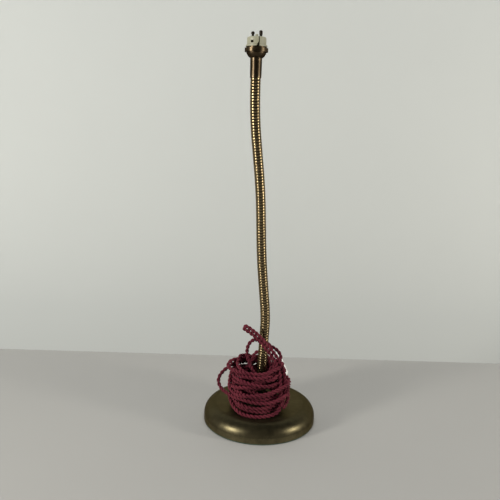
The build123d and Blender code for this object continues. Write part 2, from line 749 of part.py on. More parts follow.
with BuildPart() as plug_cover:
    with BuildSketch(plug_frame()):
        add(plug_outline())
    extrude(amount=PLUG_COVER_DEPTH)
    front_face = faces().sort_by(Axis.Y)[0]
    fillet(front_face.edges(), 4)
    with BuildSketch(plug_frame()):
        add(plug_outline(PLUG_WALL))
    extrude(amount=INNER_FRONT - 2, mode=Mode.SUBTRACT)
    with BuildSketch(plug_frame()):
        with Locations((0, COVER_SCREW_Z)):
            Circle(COVER_BOSS_R)
    extrude(amount=INNER_FRONT)
    with BuildSketch(plug_frame()):
        with Locations((0, COVER_SCREW_Z)):
            Circle(COVER_SCREW_R - PLAY)
    extrude(amount=INNER_FRONT - 3, mode=Mode.SUBTRACT)
    with BuildSketch(plug_frame() * Plane.XZ.offset(-PLUG_TOP)):
        Circle(NUB_R)
        Rectangle(4 * NUB_R, 2 * NUB_R, align=(Align.CENTER, Align.MAX), mode=Mode.SUBTRACT)
    extrude(amount=PLUG_TOP - PLUG_SHOULDER)
    with BuildSketch(plug_frame() * Plane.XZ.offset(-PLUG_TOP)):
        Circle(ENTRY_R)
    extrude(amount=PLUG_TOP - PLUG_SHOULDER + PLUG_WALL, mode=Mode.SUBTRACT)
save(plug_cover.part, "plug_cover")

PIN_BLOCK = 6.0
PIN_BLOCK_FRONT = -1.0
PIN_SCREW_R = 1.3
PIN_SCREW_HEAD_R = 2.2
PIN_SCREW_DEPTH = 3.0

for name, x, z, width, height, length in PIN_PLACES:
    with BuildPart() as pin:
        with BuildSketch(plug_frame(INNER_BACK)):
            with Locations((x, z)):
                Rectangle(width, height)
        extrude(amount=-(PLUG_WALL + length))
        chamfer(faces().sort_by(Axis.Y)[-1].edges(), 0.8)
        with BuildSketch(plug_frame(INNER_BACK)):
            with Locations((x, z)):
                Rectangle(PIN_BLOCK, PIN_BLOCK)
        extrude(amount=PIN_BLOCK_FRONT - INNER_BACK)
        with BuildSketch(plug_frame(PIN_BLOCK_FRONT)):
            with Locations((x, z)):
                Circle(PIN_SCREW_R)
        extrude(amount=-PIN_SCREW_DEPTH - 0.5, mode=Mode.SUBTRACT)
    save(pin.part, name)

with BuildPart() as plug_terminal_screws:
    for _, x, z, _, _, _ in PIN_PLACES:
        with BuildSketch(plug_frame(PIN_BLOCK_FRONT - PIN_SCREW_DEPTH)):
            with Locations((x, z)):
                Circle(PIN_SCREW_R - PLAY)
        extrude(amount=PIN_SCREW_DEPTH)
        with BuildSketch(plug_frame(PIN_BLOCK_FRONT)):
            with Locations((x, z)):
                Circle(PIN_SCREW_HEAD_R)
        extrude(amount=1.6)
save(plug_terminal_screws.part, "plug_terminal_screws")

FUSE_R = 3.15
FUSE_LENGTH = 25.4
FUSE_X = -10.5
FUSE_Z = 4.0

with BuildPart() as plug_fuse:
    with BuildSketch(plug_frame() * Plane.XZ.offset(-FUSE_Z)):
        with Locations((FUSE_X, 0)):
            Circle(FUSE_R)
    extrude(amount=-FUSE_LENGTH)
save(plug_fuse.part, "plug_fuse")

GRIP_BACK = FLEX_R + 0.1
GRIP_T = 1.4

with BuildPart() as plug_cord_grip:
    with BuildSketch(plug_frame(GRIP_BACK)):
        with Locations((0, GRIP_Z)):
            SlotOverall(2 * GRIP_SCREW_X + 6, 6)
        with Locations((-GRIP_SCREW_X, GRIP_Z), (GRIP_SCREW_X, GRIP_Z)):
            Circle(GRIP_SCREW_R, mode=Mode.SUBTRACT)
    extrude(amount=GRIP_T)
save(plug_cord_grip.part, "plug_cord_grip")

with BuildPart() as plug_cord_grip_screws:
    with BuildSketch(plug_frame(-GRIP_SCREW_DEPTH)):
        with Locations((-GRIP_SCREW_X, GRIP_Z), (GRIP_SCREW_X, GRIP_Z)):
            Circle(GRIP_SCREW_R - PLAY)
    extrude(amount=GRIP_BACK + GRIP_T + GRIP_SCREW_DEPTH)
    with BuildSketch(plug_frame(GRIP_BACK + GRIP_T)):
        with Locations((-GRIP_SCREW_X, GRIP_Z), (GRIP_SCREW_X, GRIP_Z)):
            Circle(GRIP_SCREW_HEAD_R)
    extrude(amount=1.5)
save(plug_cord_grip_screws.part, "plug_cord_grip_screws")

with BuildPart() as plug_cover_screw:
    with BuildSketch(plug_frame(-PLUG_BASE_DEPTH + 0.2)):
        with Locations((0, COVER_SCREW_Z)):
            Circle(COVER_SCREW_HEAD_R)
    extrude(amount=1.3)
    with BuildSketch(plug_frame(-PLUG_BASE_DEPTH + 0.2)):
        with Locations((0, COVER_SCREW_Z)):
            Circle(COVER_SCREW_R - 2 * PLAY)
    extrude(amount=PLUG_BASE_DEPTH + 4)
save(plug_cover_screw.part, "plug_cover_screw")

# From the cord grip up out of the plug, over and down to the top of the hank.
plug_entry = plug_frame()
with BuildLine() as plug_run:
    inside = Line(
        plug_entry.from_local_coords((0, GRIP_Z - 8, 0)),
        plug_entry.from_local_coords((0, PLUG_TOP + 2, 0)),
    )
    Spline(
        inside @ 1,
        (12.5, 46, 88),
        (8, 39, 92.5),
        (2, 29, 91),
        (-2, 22, HANK_LEVELS[-1][0] + 0.5),
        tangents=((0, 0, 1), (-0.1, -0.1, -1)),
    )
save(flex_along(plug_run.wire()), "flex_to_plug")
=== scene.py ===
import json
from math import cos, pi, radians, sin, tau

import bpy
import numpy as np
from mathutils import Matrix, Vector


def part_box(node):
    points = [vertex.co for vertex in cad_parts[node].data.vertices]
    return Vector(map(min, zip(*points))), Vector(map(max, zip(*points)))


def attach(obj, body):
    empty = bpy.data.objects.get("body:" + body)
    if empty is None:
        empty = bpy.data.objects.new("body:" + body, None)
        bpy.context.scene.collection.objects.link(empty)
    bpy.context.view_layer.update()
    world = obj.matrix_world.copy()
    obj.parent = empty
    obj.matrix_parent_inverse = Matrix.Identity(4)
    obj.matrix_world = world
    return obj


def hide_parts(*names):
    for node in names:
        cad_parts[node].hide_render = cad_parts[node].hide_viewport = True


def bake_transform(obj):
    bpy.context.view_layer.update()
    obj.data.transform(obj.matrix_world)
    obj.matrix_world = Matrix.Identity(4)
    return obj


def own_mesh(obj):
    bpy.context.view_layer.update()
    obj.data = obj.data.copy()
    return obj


# Looks for the gooseneck table lamp. Sizes here are millimetres, and meshes are made in metres.
# +Z is up and -Y is the front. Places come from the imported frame.

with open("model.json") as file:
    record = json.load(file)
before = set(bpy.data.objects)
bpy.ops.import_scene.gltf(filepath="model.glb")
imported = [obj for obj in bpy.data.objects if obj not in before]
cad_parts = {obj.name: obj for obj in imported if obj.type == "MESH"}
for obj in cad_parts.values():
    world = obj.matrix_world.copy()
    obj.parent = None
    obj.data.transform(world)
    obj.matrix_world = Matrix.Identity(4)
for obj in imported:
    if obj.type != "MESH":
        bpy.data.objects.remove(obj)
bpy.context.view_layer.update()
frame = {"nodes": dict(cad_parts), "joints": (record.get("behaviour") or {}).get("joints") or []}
MM = 0.001
rng = np.random.default_rng(11)


def box_mm(node):
    """Lowest and highest corner of a CAD node, in millimetres."""
    low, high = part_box(node)
    return np.array(low) / MM, np.array(high) / MM


# ---------------------------------------------------------------- materials


def add_node(tree, kind, inputs=None, **settings):
    """A shader node. Inputs are values or the sockets that feed them."""
    made = tree.nodes.new(kind)
    for name, value in settings.items():
        setattr(made, name, value)
    for name, value in (inputs or {}).items():
        if isinstance(value, bpy.types.NodeSocket):
            tree.links.new(value, made.inputs[name])
        else:
            made.inputs[name].default_value = value
    return made


def new_material(name):
    """An empty node material and its Principled shader."""
    material = bpy.data.materials.new(name)
    material.use_nodes = True
    tree = material.node_tree
    tree.nodes.clear()
    shader = tree.nodes.new("ShaderNodeBsdfPrincipled")
    output = tree.nodes.new("ShaderNodeOutputMaterial")
    tree.links.new(shader.outputs["BSDF"], output.inputs["Surface"])
    return material, tree, shader


def noise(tree, scale, detail=4.0, roughness=0.55, stretch=(1, 1, 1)):
    """Noise in the object's own coordinates, scale per metre."""
    place = add_node(tree, "ShaderNodeTexCoord").outputs["Object"]
    if stretch != (1, 1, 1):
        place = add_node(
            tree, "ShaderNodeMapping", {"Vector": place, "Scale": stretch}
        ).outputs["Vector"]
    made = add_node(
        tree,
        "ShaderNodeTexNoise",
        {"Vector": place, "Scale": scale, "Detail": detail, "Roughness": roughness},
    )
    return made.outputs["Fac"]


def math_node(tree, operation, first, second=0.0):
    made = add_node(tree, "ShaderNodeMath", {0: first, 1: second}, operation=operation)
    return made.outputs[0]


def remap(tree, value, low, high, to_low, to_high):
    made = add_node(
        tree,
        "ShaderNodeMapRange",
        {"Value": value, "From Min": low, "From Max": high, "To Min": to_low, "To Max": to_high},
    )
    return made.outputs["Result"]


def mix_colour(tree, factor, first, second):
    made = add_node(tree, "ShaderNodeMix", {"Factor": factor}, data_type="RGBA")
    for socket, value in ((made.inputs[6], first), (made.inputs[7], second)):
        if isinstance(value, bpy.types.NodeSocket):
            tree.links.new(value, socket)
        else:
            socket.default_value = (*value, 1)
    return made.outputs[2]


def bump(tree, height, distance, strength=1.0, normal=None):
    inputs = {"Height": height, "Distance": distance, "Strength": strength}
    if normal is not None:
        inputs["Normal"] = normal
    return add_node(tree, "ShaderNodeBump", inputs).outputs["Normal"]


def turning_marks(tree, axis_x):
    """Fine rings round an upright axis, as a lathe leaves them."""
    place = add_node(tree, "ShaderNodeTexCoord").outputs["Object"]
    centred = add_node(
        tree, "ShaderNodeMapping", {"Vector": place, "Location": (-axis_x * MM, 0, 0)}
    ).outputs["Vector"]
    axes = add_node(tree, "ShaderNodeSeparateXYZ", {"Vector": centred})
    level = add_node(tree, "ShaderNodeCombineXYZ", {"X": axes.outputs["X"], "Y": axes.outputs["Y"]})
    radius = add_node(
        tree, "ShaderNodeVectorMath", {0: level.outputs["Vector"]}, operation="LENGTH"
    ).outputs["Value"]
    profile = add_node(tree, "ShaderNodeCombineXYZ", {"X": radius, "Y": axes.outputs["Z"]})
    rings = add_node(
        tree, "ShaderNodeTexNoise", {"Vector": profile.outputs["Vector"], "Scale": 1500.0, "Detail": 3.0}
    )
    return rings.outputs["Fac"]


def aged_metal(
    name,
    hollow,
    body,
    worn,
    rough,
    wear="pointiness",
    axis_x=None,
    uneven=0.55,
    rim=1.0,
):
    """Tarnished metal: hollows dark, edges rubbed bright, patches and fine pits all over.

    wear is "pointiness" or the name of a point attribute that is 1 where the metal is rubbed. axis_x is
    given for turned parts. uneven is how patchy the tarnish is, and rim how bright grazing edges are.
    """
    material, tree, shader = new_material(name)
    patches = noise(tree, 26, 7, 0.6)
    blotches = noise(tree, 130, 5, 0.65)
    grain = noise(tree, 1700, 3, 0.6)
    if wear == "pointiness":
        point = add_node(tree, "ShaderNodeNewGeometry").outputs["Pointiness"]
        exposed = remap(tree, point, 0.47, 0.56, 0, 1)
    else:
        exposed = add_node(tree, "ShaderNodeAttribute", attribute_name=wear).outputs["Fac"]
    patchy = remap(tree, patches, 0.36, 0.66, 0, 1)
    tarnish = mix_colour(tree, patchy, body, tuple(0.62 * c for c in body))
    mottled = mix_colour(tree, remap(tree, blotches, 0.45, 0.72, 0, uneven), tarnish, hollow)
    rubbed = math_node(tree, "MULTIPLY", exposed, remap(tree, blotches, 0.3, 0.62, 1 - uneven, 1.0))
    deep = mix_colour(tree, remap(tree, exposed, 0.0, 0.4, 0, 1), hollow, mottled)
    colour = mix_colour(tree, rubbed, deep, worn)
    roughness = remap(tree, blotches, 0.3, 0.7, *rough)
    tree.links.new(colour, shader.inputs["Base Color"])
    tree.links.new(roughness, shader.inputs["Roughness"])
    shader.inputs["Metallic"].default_value = 0.92
    shader.inputs["Specular Tint"].default_value = (rim, 0.9 * rim, 0.75 * rim, 1)
    normal = bump(tree, grain, 0.00003, 0.5)
    if axis_x is not None:
        normal = bump(tree, turning_marks(tree, axis_x), 0.00003, 0.35, normal)
    tree.links.new(bump(tree, blotches, 0.0001, 0.6 * uneven, normal), shader.inputs["Normal"])
    return material


def plain_metal(name, body, rough):
    """Plated or drawn metal with fine brushing and slight staining."""
    material, tree, shader = new_material(name)
    brushing = noise(tree, 900, 3, 0.6)
    stain = noise(tree, 160, 5)
    stained = tuple(0.45 * c for c in body)
    colour = mix_colour(tree, remap(tree, stain, 0.4, 0.75, 0, 0.6), body, stained)
    roughness = remap(tree, brushing, 0.3, 0.7, rough - 0.1, rough + 0.12)
    tree.links.new(colour, shader.inputs["Base Color"])
    tree.links.new(roughness, shader.inputs["Roughness"])
    shader.inputs["Metallic"].default_value = 1.0
    tree.links.new(bump(tree, brushing, 0.00002, 0.5), shader.inputs["Normal"])
    return material


def moulded(name, body, stain, rough, speckle, coat=0.0):
    """Moulded plastic: slight orange peel, yellowing in patches, and painted shade darkening the
    corners.
    """
    material, tree, shader = new_material(name)
    yellowing = noise(tree, 90, 5)
    peel = noise(tree, 1100, 2)
    specks = noise(tree, 2600, 2, 0.7)
    occluded = add_node(
        tree, "ShaderNodeAmbientOcclusion", {"Distance": 0.0025}, samples=6
    ).outputs["AO"]
    yellowed = tuple(0.86 * c for c in body)
    aged = mix_colour(tree, remap(tree, yellowing, 0.35, 0.7, 0, 0.8), body, yellowed)
    dotted = mix_colour(tree, remap(tree, specks, 0.64, 0.74, 0, speckle), aged, stain)
    # Painted shade: the stain colour is mixed in where the occlusion mask finds corners and gaps.
    corner_painted_shade = mix_colour(tree, remap(tree, occluded, 0.35, 0.85, 0.75, 0), dotted, stain)
    roughness = remap(tree, yellowing, 0.3, 0.7, rough - 0.07, rough + 0.1)
    tree.links.new(corner_painted_shade, shader.inputs["Base Color"])
    tree.links.new(roughness, shader.inputs["Roughness"])
    shader.inputs["Coat Weight"].default_value = coat
    tree.links.new(bump(tree, peel, 0.00003, 0.4), shader.inputs["Normal"])
    return material


def matt(name, body, dark, scale, rough, depth, sheen=0.0):
    """A matt, grainy material such as felt, cast iron, fibre or rubber."""
    material, tree, shader = new_material(name)
    grain = noise(tree, scale, 6, 0.65)
    patches = noise(tree, scale / 14, 4)
    grainy = mix_colour(tree, remap(tree, grain, 0.35, 0.65, 0, 1), dark, body)
    colour = mix_colour(tree, remap(tree, patches, 0.4, 0.7, 0, 0.4), grainy, dark)
    tree.links.new(colour, shader.inputs["Base Color"])
    tree.links.new(remap(tree, grain, 0.3, 0.7, rough + 0.1, rough - 0.1), shader.inputs["Roughness"])
    shader.inputs["Sheen Weight"].default_value = sheen
    tree.links.new(bump(tree, grain, depth, 0.6), shader.inputs["Normal"])
    return material


BRAID_CARRIERS = 9  # threads each way round one core


def braided_cotton(name, deep, body, pale):
    """Braided cotton: two sets of threads that cross, in a UV map that runs round and along a core, with
    painted shade in the gaps between the threads.
    """
    material, tree, shader = new_material(name)
    place = add_node(tree, "ShaderNodeUVMap", uv_map="braid").outputs["UV"]
    axes = add_node(tree, "ShaderNodeSeparateXYZ", {"Vector": place})
    around, along = axes.outputs["X"], axes.outputs["Y"]
    ridges = []
    for sense in ("ADD", "SUBTRACT"):
        turn = math_node(tree, sense, around, math_node(tree, "MULTIPLY", along, 0.7))
        wave = math_node(tree, "SINE", math_node(tree, "MULTIPLY", turn, BRAID_CARRIERS * tau))
        ridges.append(wave)
    crossed = math_node(tree, "MAXIMUM", *ridges)
    over = math_node(tree, "MULTIPLY", *ridges)
    fluff = noise(tree, 2400, 4, 0.7)
    fading = noise(tree, 45, 4)
    # Painted shade: the colour falls to deep, near black, in the gaps between the threads, where the
    # bump is lowest.
    thread_with_gap_shade = mix_colour(tree, remap(tree, crossed, -0.2, 1.0, 0, 1), deep, body)
    lifted = mix_colour(tree, remap(tree, over, 0.1, 0.9, 0, 0.35), thread_with_gap_shade, pale)
    faded = mix_colour(tree, remap(tree, fading, 0.42, 0.7, 0, 0.35), lifted, pale)
    fluffy = mix_colour(tree, remap(tree, fluff, 0.52, 0.7, 0, 0.4), faded, pale)
    tree.links.new(fluffy, shader.inputs["Base Color"])
    shader.inputs["Roughness"].default_value = 0.78
    shader.inputs["Sheen Weight"].default_value = 0.06
    shader.inputs["Sheen Roughness"].default_value = 0.4
    shader.inputs["Sheen Tint"].default_value = (1.0, 0.45, 0.5, 1)
    shader.inputs["Specular IOR Level"].default_value = 0.16
    height = math_node(tree, "ADD", crossed, math_node(tree, "MULTIPLY", fluff, 0.8))
    tree.links.new(bump(tree, height, 0.00012, 0.8), shader.inputs["Normal"])
    return material


cap_low, cap_high = box_mm("lampholder_cap")
HEAD_X = (cap_low[0] + cap_high[0]) / 2

base_brass = aged_metal(
    "base_brass",
    hollow=(0.02, 0.017, 0.01),
    body=(0.044, 0.038, 0.022),
    worn=(0.13, 0.11, 0.06),
    rough=(0.33, 0.42),
    axis_x=0.0,
    rim=0.5,
)
neck_brass = aged_metal(
    "neck_brass",
    hollow=(0.006, 0.004, 0.002),
    body=(0.055, 0.034, 0.012),
    worn=(0.21, 0.158, 0.085),
    rough=(0.2, 0.25),
    wear="crest",
    uneven=0.15,
    rim=0.3,
)
cap_brass = aged_metal(
    "cap_brass",
    hollow=(0.010, 0.007, 0.005),
    body=(0.031, 0.021, 0.012),
    worn=(0.088, 0.066, 0.040),
    rough=(0.26, 0.38),
    axis_x=HEAD_X,
    rim=0.25,
)
black_brass = aged_metal(
    "black_brass",
    hollow=(0.004, 0.004, 0.003),
    body=(0.009, 0.008, 0.007),
    worn=(0.03, 0.025, 0.02),
    rough=(0.4, 0.55),
)
pin_brass = plain_metal("pin_brass", (0.72, 0.53, 0.24), 0.3)
zinc = plain_metal("zinc", (0.5, 0.5, 0.5), 0.36)
spring_wire = plain_metal("spring_wire", (0.35, 0.35, 0.36), 0.3)
ivory = moulded("ivory", (0.29, 0.285, 0.205), (0.09, 0.075, 0.045), 0.45, 0.35)
white_plastic = moulded("white_plastic", (0.82, 0.82, 0.78), (0.3, 0.27, 0.2), 0.25, 0.15, 0.3)
cotton = braided_cotton("cotton", (0.012, 0.001, 0.003), (0.10, 0.009, 0.021), (0.20, 0.036, 0.05))
felt = matt("felt", (0.03, 0.07, 0.04), (0.01, 0.025, 0.014), 1500, 0.95, 0.0005, 0.5)
iron = matt("iron", (0.12, 0.115, 0.11), (0.04, 0.038, 0.036), 500, 0.6, 0.0004)
rubber = matt("rubber", (0.03, 0.028, 0.026), (0.012, 0.011, 0.01), 900, 0.7, 0.0001)
ceramic = matt("ceramic", (0.75, 0.72, 0.62), (0.5, 0.47, 0.4), 700, 0.55, 0.0001)
fibre = matt("fibre", (0.35, 0.08, 0.05), (0.16, 0.035, 0.02), 800, 0.6, 0.0001)

# ---------------------------------------------------------------- meshes


def add_mesh(name, points, faces, material):
    """A smooth-shaded mesh object made from points in millimetres."""
    mesh = bpy.data.meshes.new(name)
    mesh.from_pydata((np.asarray(points) * MM).tolist(), [], faces)
    mesh.validate()
    mesh.update()
    piece = bpy.data.objects.new(name, mesh)
    bpy.context.scene.collection.objects.link(piece)
    mesh.materials.append(material)
    mesh.shade_smooth()
    return piece


def point_attribute(piece, name, values):
    made = piece.data.attributes.new(name, "FLOAT", "POINT")
    made.data.foreach_set("value", np.asarray(values, np.float32))


def unit(vectors):
    return vectors / np.linalg.norm(vectors, axis=-1, keepdims=True)


def carried_frames(line):
    """Two directions across a line at each of its points, carried along without twist."""
    tangents = unit(np.gradient(line, axis=0))
    across = np.zeros_like(line)
    start = np.array((0.0, 1.0, 0.0)) if abs(tangents[0][1]) < 0.9 else np.array((1.0, 0.0, 0.0))
    across[0] = unit(start - tangents[0] * (start @ tangents[0]))
    for i in range(1, len(line)):
        carried = across[i - 1] - tangents[i] * (across[i - 1] @ tangents[i])
        across[i] = carried / np.linalg.norm(carried)
    return across, np.cross(tangents, across)


def lengths_along(line):
    steps = np.linalg.norm(np.diff(line, axis=0), axis=1)
    return np.concatenate(([0.0], np.cumsum(steps)))


def resampled(line, step):
    """The same line with points evenly spaced, about a step apart."""
    at = lengths_along(line)
    wanted = np.linspace(0, at[-1], max(2, round(at[-1] / step) + 1))
    return np.column_stack([np.interp(wanted, at, line[:, k]) for k in range(3)])


CURVE_DIVISIONS = 12


def smooth_curve(controls, step):
    """A Catmull-Rom curve through control points, evenly spaced."""
    controls = np.asarray(controls, float)
    ends = np.vstack((2 * controls[0] - controls[1], controls, 2 * controls[-1] - controls[-2]))
    pieces = []
    for before, first, second, after in zip(ends, ends[1:], ends[2:], ends[3:]):
        t = np.linspace(0, 1, CURVE_DIVISIONS, endpoint=False)[:, None]
        pieces.append(
            0.5
            * (
                2 * first
                + (second - before) * t
                + (2 * before - 5 * first + 4 * second - after) * t**2
                + (3 * first - before - 3 * second + after) * t**3
            )
        )
    pieces.append(controls[-1:])
    return resampled(np.vstack(pieces), step)


# Flex: two braided cores twisted together.
CORE_R = 1.36
TWIST_R = 1.24  # from the flex's middle to a core's
LAY = 11.5  # length of one full twist
CORE_SIDES = 10
RING_STEP = 0.95


def core_tube(line):
    """Points, faces and braid coordinates of one round core along a line, with rounded-off ends."""
    across, up = carried_frames(line)
    turn = np.arange(CORE_SIDES) * tau / CORE_SIDES
    rings = (
        line[:, None, :]
        + CORE_R * np.cos(turn)[None, :, None] * across[:, None, :]
        + CORE_R * np.sin(turn)[None, :, None] * up[:, None, :]
    )
    points = np.vstack((rings.reshape(-1, 3), line[:1], line[-1:]))
    along = lengths_along(line) / (tau * CORE_R)
    faces, places = [], []
    for ring in range(len(line) - 1):
        for side in range(CORE_SIDES):
            after = (side + 1) % CORE_SIDES
            first, second = ring * CORE_SIDES, (ring + 1) * CORE_SIDES
            faces.append((first + side, first + after, second + after, second + side))
            low, high = side / CORE_SIDES, (side + 1) / CORE_SIDES
            here, next_ring = along[ring], along[ring + 1]
            places += [(low, here), (high, here), (high, next_ring), (low, next_ring)]
    last = (len(line) - 1) * CORE_SIDES
    start_centre, end_centre = len(points) - 2, len(points) - 1
    for side in range(CORE_SIDES):
        after = (side + 1) % CORE_SIDES
        faces.append((start_centre, after, side))
        faces.append((end_centre, last + side, last + after))
        places += [(0, 0), (0, 0), (0, 0)] * 2
    return points, faces, places


def twisted_flex(name, line, first_length=0.0):
    """A flex of two cores twisted round a centre line of evenly spaced points."""
    across, up = carried_frames(line)
    at = first_length + lengths_along(line)
    all_points, all_faces, all_places = [], [], []
    for opposite in (0.0, pi):
        turn = tau * at / LAY + opposite
        core = line + TWIST_R * (np.cos(turn)[:, None] * across + np.sin(turn)[:, None] * up)
        points, faces, places = core_tube(core)
        offset = sum(len(p) for p in all_points)
        all_points.append(points)
        all_faces += [tuple(offset + corner for corner in face) for face in faces]
        all_places += places
    piece = add_mesh(name, np.vstack(all_points), all_faces, cotton)
    layer = piece.data.uv_layers.new(name="braid")
    layer.data.foreach_set("uv", np.array(all_places, np.float32).ravel())
    return piece


# ---------------------------------------------------------------- neck

hinges = [joint for joint in frame["joints"] if joint["type"] == "hinge"]
foot_low, foot_high = box_mm("neck_coil_00")
top_high = box_mm(f"neck_coil_{len(hinges):02d}")[1]
NECK_FOOT = np.array((0.0, 0.0, foot_low[2]))
NECK_TOP = np.array((HEAD_X, 0.0, top_high[2]))
hinge_points = np.array([joint["pos_m"] for joint in hinges]) / MM

CREST_R = foot_high[1]
VALLEY_R = CREST_R - 1.0
INNER_R = CREST_R - 1.9
RIB_PITCH = 3.58
RIB_SQUARENESS = 3.2  # 2 gives round ribs
ROWS_PER_RIB = 14
COLUMNS = 48
DIVISIONS_PER_LINK = 20
# A blend means the same either way round. These four links are listed to be built from the child's end;
# as written, every link's piece is baked in place either way.
FROM_THE_CHILD = (5, 7, 9, 10)


def neck_centre_line():
    """The neck's axis as closely spaced points: straight at the foot, then a smooth S."""
    stations = np.vstack((NECK_FOOT, hinge_points, NECK_TOP))
    tangents = np.gradient(stations, axis=0)
    tangents[0] = tangents[1] = stations[1] - stations[0]
    tangents[-1] = tangents[-2] = stations[-1] - stations[-2]
    line = []
    for i in range(len(stations) - 1):
        gap = np.linalg.norm(stations[i + 1] - stations[i])
        lean, lean_after = gap * unit(tangents[i]), gap * unit(tangents[i + 1])
        t = np.linspace(0, 1, DIVISIONS_PER_LINK, endpoint=False)[:, None]
        line.append(
            (2 * t**3 - 3 * t**2 + 1) * stations[i]
            + (t**3 - 2 * t**2 + t) * lean
            + (3 * t**2 - 2 * t**3) * stations[i + 1]
            + (t**3 - t**2) * lean_after
        )
    line.append(stations[-1:])
    return np.vstack(line)


neck_line = neck_centre_line()
neck_lengths = lengths_along(neck_line)
neck_tangents = unit(np.gradient(neck_line, axis=0))


def on_neck(length):
    """Centre and direction of the neck at lengths along it."""
    centre = np.stack([np.interp(length, neck_lengths, neck_line[:, k]) for k in range(3)], -1)
    along = np.stack([np.interp(length, neck_lengths, neck_tangents[:, k]) for k in range(3)], -1)
    return centre, unit(along)


def length_of(point):
    """How far along the neck a point of its axis is."""
    return neck_lengths[np.argmin(np.linalg.norm(neck_line - point, axis=1))]


def coil_points(length, angle, radius):
    """Points round the neck. The angle runs from the right through the back."""
    centre, along = on_neck(length)
    side = unit(np.cross(np.array((0.0, 1.0, 0.0)), along))
    back = np.cross(along, side)
    return centre + radius[..., None] * (
        np.cos(angle)[..., None] * side + np.sin(angle)[..., None] * back
    )


def rib_profile(turns):
    """Height of the coil's skin, 0 in a valley and 1 on a crest, at a place counted in ribs."""
    across = 2 * (turns % 1.0) - 1
    return np.sqrt(np.clip(1 - np.abs(across) ** RIB_SQUARENESS, 0, 1))


def coil_piece(name, first_rib, last_rib):
    """Ribs of the right-handed coil as one closed tube whose ends follow the helix.

    Column 0 has one rib more than the others. The last column joins it one rib higher up.
    """
    rows = (last_rib - first_rib) * ROWS_PER_RIB + 1
    longer = rows + ROWS_PER_RIB
    row = np.arange(longer)
    index, points, crests, count = {}, [], [], 0
    for column in range(COLUMNS):
        here = row if column == 0 else row[:rows]
        turns = first_rib + here / ROWS_PER_RIB
        angle = np.full(len(here), tau * column / COLUMNS)
        length = RIB_PITCH * (turns + column / COLUMNS)
        height = rib_profile(turns)
        for layer, radius in (
            ("skin", VALLEY_R + (CREST_R - VALLEY_R) * height),
            ("bore", np.full(len(here), INNER_R)),
        ):
            index[layer, column] = count + np.arange(len(here))
            points.append(coil_points(length, angle, radius))
            crests.append(height if layer == "skin" else np.zeros(len(here)))
            count += len(here)
    faces = []

    def between(left, right):
        """Faces of one strip between two columns of equal height."""
        for i in range(rows - 1):
            faces.append((left["skin"][i], right["skin"][i], right["skin"][i + 1], left["skin"][i + 1]))
            faces.append((left["bore"][i + 1], right["bore"][i + 1], right["bore"][i], left["bore"][i]))
        faces.append((left["bore"][0], right["bore"][0], right["skin"][0], left["skin"][0]))
        faces.append((left["skin"][-1], right["skin"][-1], right["bore"][-1], left["bore"][-1]))

    def column_of(number, skip=0):
        if number == 0:
            return {layer: index[layer, 0][skip : skip + rows] for layer in ("skin", "bore")}
        return {layer: index[layer, number] for layer in ("skin", "bore")}

    for column in range(COLUMNS - 1):
        between(column_of(column), column_of(column + 1))
    between(column_of(COLUMNS - 1), column_of(0, ROWS_PER_RIB))
    skin, bore = index["skin", 0], index["bore", 0]
    for i in range(ROWS_PER_RIB):
        faces.append((skin[i], skin[i + 1], bore[i + 1], bore[i]))
        above = rows - 1 + i
        faces.append((bore[above], bore[above + 1], skin[above + 1], skin[above]))
    faces = [tuple(int(corner) for corner in face) for face in faces]
    piece = add_mesh(name, np.vstack(points), faces, neck_brass)
    point_attribute(piece, "crest", np.concatenate(crests))
    return piece


def build_neck():
    """A rigid stretch of coil at the foot, then a stretch round each hinge, with the flex inside."""
    bends = [length_of(p) for p in hinge_points]
    half_link = (bends[1] - bends[0]) / 2
    middles = [bends[0] - half_link] + [(a + b) / 2 for a, b in zip(bends, bends[1:])]
    cuts = [0] + [round(m / RIB_PITCH) for m in middles] + [int(neck_lengths[-1] / RIB_PITCH) - 1]
    for number, (first_rib, last_rib) in enumerate(zip(cuts, cuts[1:])):
        coil = coil_piece(f"neck_ribs_{number:02d}", first_rib, last_rib)
        inner = inner_flex(f"inner_flex_{number:02d}", RIB_PITCH * first_rib, RIB_PITCH * last_rib)
        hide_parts(f"neck_coil_{number:02d}")
        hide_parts("neck_flex")
        for piece in (coil, inner):
            if number == 0:
                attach(piece, "base")
                continue
            if number in FROM_THE_CHILD:
                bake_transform(piece)
            else:
                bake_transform(piece)


def inner_flex(name, first, last):
    """The flex inside the neck, from one length along it to another."""
    steps = max(2, round((last - first) / RING_STEP) + 1)
    line = on_neck(np.linspace(first, last, steps))[0]
    return twisted_flex(name, line, first)


build_neck()

# ---------------------------------------------------------------- flex

base_high = box_mm("base_cover")[1]
BASE_R, BASE_TOP = base_high[0], base_high[2]
hank_low, hank_high = box_mm("flex_hank")
HANK_X = (hank_low[0] + hank_high[0]) / 2
FLEX_R = CORE_R + TWIST_R
LYING_Z = BASE_TOP + FLEX_R + 0.1
TUBE_FOOT_Z = box_mm("stem_tube")[0][2]
bush_low, bush_high = box_mm("cable_bush")
ENTRY_Z = (bush_low[2] + bush_high[2]) / 2
lead_high = box_mm("flex_to_plug")[1]
PLUG_X, PLUG_Y = lead_high[0] - FLEX_R, lead_high[1] - FLEX_R
PLUG_TOP = box_mm("plug_base")[1][2]

flex_points = []
flex_holds = []
FIRM, HELD, LOOSE = 1.0, 0.3, 0.03

# The hank's outline at four shares of its height: half width, half depth, and how far it sits forward.
HANK_SHARES = (0.0, 0.22, 0.56, 1.0)
HANK_HALF_WIDTHS = (31, 37.5, 37, 27)
HANK_HALF_DEPTHS = (37, 42, 36, 27)
HANK_FORWARD = (13, 11, 6, 3)


def go(hold, *places):
    """Leads the flex through places that it holds firmly or loosely."""
    for place in places:
        flex_points.append(place)
        flex_holds.append(hold)


